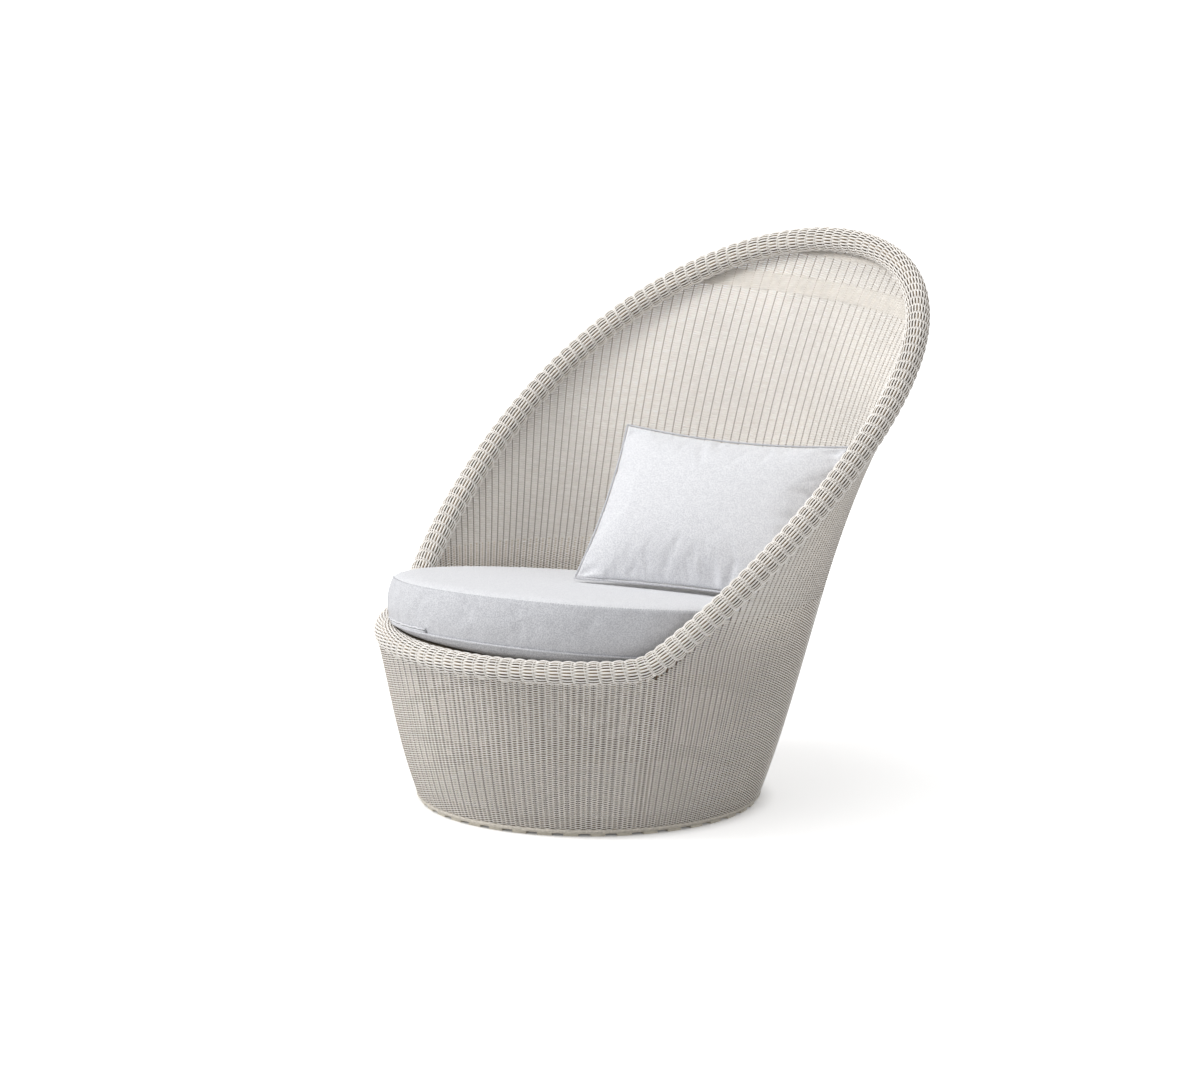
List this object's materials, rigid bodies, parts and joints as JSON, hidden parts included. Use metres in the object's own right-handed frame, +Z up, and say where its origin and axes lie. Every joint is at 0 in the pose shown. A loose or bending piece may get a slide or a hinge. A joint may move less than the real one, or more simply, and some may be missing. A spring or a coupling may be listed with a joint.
{
  "type": "outdoor lounge chair",
  "caption": "Woven resin-wicker lounge chair: flared round drum base running up into a high scooped back with a rolled rim, loose round seat cushion and loose scatter pillow",
  "frame": {"origin": "on the floor under the middle of the chair's bounding box", "axes": "+Z up, -Y towards the open front where one sits down, +Y towards the high back, +X to the sitter's left"},
  "size_m": [0.9204, 1.0102, 0.9526],
  "materials": {
    "wicker": "woven round resin strand, matt, warm light beige",
    "glide_plastic": "moulded, matt beige",
    "frame_metal": "powder coated, beige",
    "cushion_fabric": "light blue-grey heathered weave",
    "welt_fabric": "narrow welt of the cushion's fabric, a little darker",
    "foam": "plain filling, hidden",
    "zip_tape": "woven zip tape",
    "zip_metal": "small metal slider"
  },
  "bodies": {
    "frame": {"floor_glides": "glide_plastic", "bottom_border": "wicker", "base_ring": "frame_metal", "low_hoop": "frame_metal", "seat_ring": "frame_metal", "seat_deck": "wicker", "front_seat_bar": "frame_metal", "middle_seat_bar": "frame_metal", "rear_seat_bar": "frame_metal", "woven_shell": "wicker", "rim_roll": "wicker", "rim_tube": "frame_metal", "back_hoop": "frame_metal", "crown_hoop": "frame_metal", "front_upright_left": "frame_metal", "front_upright_right": "frame_metal", "side_upright_left": "frame_metal", "side_upright_right": "frame_metal", "rear_upright_left": "frame_metal", "rear_upright_right": "frame_metal", "back_upright_left": "frame_metal", "back_upright_right": "frame_metal"},
    "seat_cushion": {"seat_cushion_cover": "cushion_fabric", "seat_cushion_foam": "foam", "seat_cushion_piping": "cushion_fabric", "seat_cushion_zip": "zip_tape", "zip_slider": "zip_metal"},
    "pillow": {"pillow_cover": "cushion_fabric", "pillow_fill": "foam", "pillow_welt": "welt_fabric"}
  },
  "joints": [
    {"name": "seat_cushion_lift", "type": "slide", "parent": "frame", "child": "seat_cushion", "axis": [0, 0, 1], "range_m": [0, 0.25]},
    {"name": "pillow_lift", "type": "slide", "parent": "seat_cushion", "child": "pillow", "axis": [0, 0, 1], "range_m": [0, 0.3]}
  ]
}
